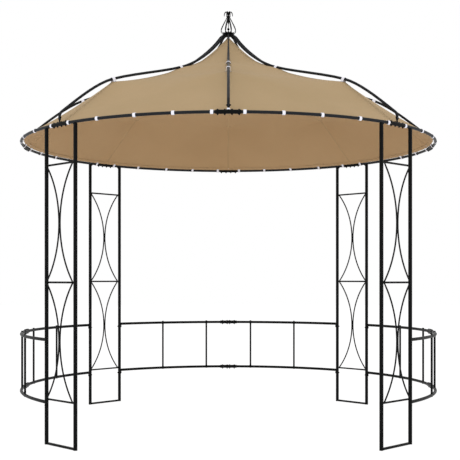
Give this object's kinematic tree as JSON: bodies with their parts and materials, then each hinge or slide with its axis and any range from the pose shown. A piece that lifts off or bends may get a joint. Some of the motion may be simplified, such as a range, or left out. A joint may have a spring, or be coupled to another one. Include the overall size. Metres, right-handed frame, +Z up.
{
  "type": "round garden gazebo",
  "caption": "Round garden gazebo of bent black steel tube with trellis legs, low curved balustrades, S-curved roof ribs, an open finial and a hung fabric canopy.",
  "frame": {"origin": "centre of the circle of the legs, on the floor", "axes": "+Z up along the gazebo's centre line, -Y towards the entrance, the side with no balustrade"},
  "size_m": [2.9866, 2.9857, 2.9999],
  "materials": {
    "black_frame": "satin black powder coat on steel tube",
    "canopy_fabric": "plain woven beige polyester with a water-repellent coat",
    "tie_strap": "white woven polyester webbing"
  },
  "bodies": {
    "root": {"front_right_leg_outer_post": "black_frame", "front_right_leg_inner_post": "black_frame", "front_right_leg_trellis": "black_frame", "back_right_leg_outer_post": "black_frame", "back_right_leg_inner_post": "black_frame", "back_right_leg_trellis": "black_frame", "back_left_leg_outer_post": "black_frame", "back_left_leg_inner_post": "black_frame", "back_left_leg_trellis": "black_frame", "front_left_leg_outer_post": "black_frame", "front_left_leg_inner_post": "black_frame", "front_left_leg_trellis": "black_frame", "ring_segment_1": "black_frame", "ring_segment_2": "black_frame", "ring_segment_3": "black_frame", "ring_segment_4": "black_frame", "ring_segment_5": "black_frame", "ring_segment_6": "black_frame", "ring_segment_7": "black_frame", "ring_segment_8": "black_frame", "ring_joint_sleeves": "black_frame", "rib_1": "black_frame", "rib_2": "black_frame", "rib_3": "black_frame", "rib_4": "black_frame", "rib_5": "black_frame", "rib_6": "black_frame", "rib_7": "black_frame", "rib_8": "black_frame", "right_balustrade_half_a": "black_frame", "right_balustrade_half_b": "black_frame", "back_balustrade_half_a": "black_frame", "back_balustrade_half_b": "black_frame", "left_balustrade_half_a": "black_frame", "left_balustrade_half_b": "black_frame", "balustrade_sleeves": "black_frame", "canopy": "canopy_fabric", "canopy_ties": "tie_strap", "crown_hub": "black_frame", "finial": "black_frame"}
  },
  "joints": []
}
